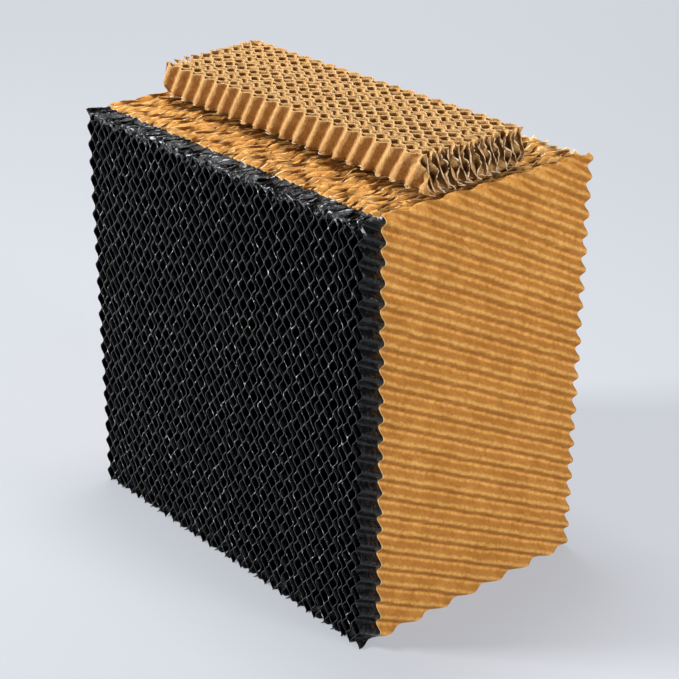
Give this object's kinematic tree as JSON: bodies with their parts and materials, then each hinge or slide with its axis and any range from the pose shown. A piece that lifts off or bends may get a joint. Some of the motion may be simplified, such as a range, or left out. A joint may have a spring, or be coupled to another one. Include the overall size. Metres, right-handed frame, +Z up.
{
  "type": "evaporative cooling pad",
  "caption": "Upright block of crossed fluted kraft paper sheets with a black coated air inlet face, and a low water distribution pad of the same stock lying on top.",
  "frame": {"origin": "middle of the foot of the pad, on the floor", "axes": "+Z up, -Y out of the black air inlet face, +X across the stack of sheets to the right as the inlet face is seen"},
  "size_m": [0.455, 0.305, 0.495],
  "materials": {
    "pad_paper": "matt resin-stiffened kraft paper, inlet edge coated gloss black",
    "top_paper": "matt resin-stiffened kraft paper, uncoated"
  },
  "bodies": {
    "root": {"falling_sheets": "pad_paper", "rising_sheets": "pad_paper", "top_right_sheets": "top_paper", "top_left_sheets": "top_paper"}
  },
  "joints": []
}
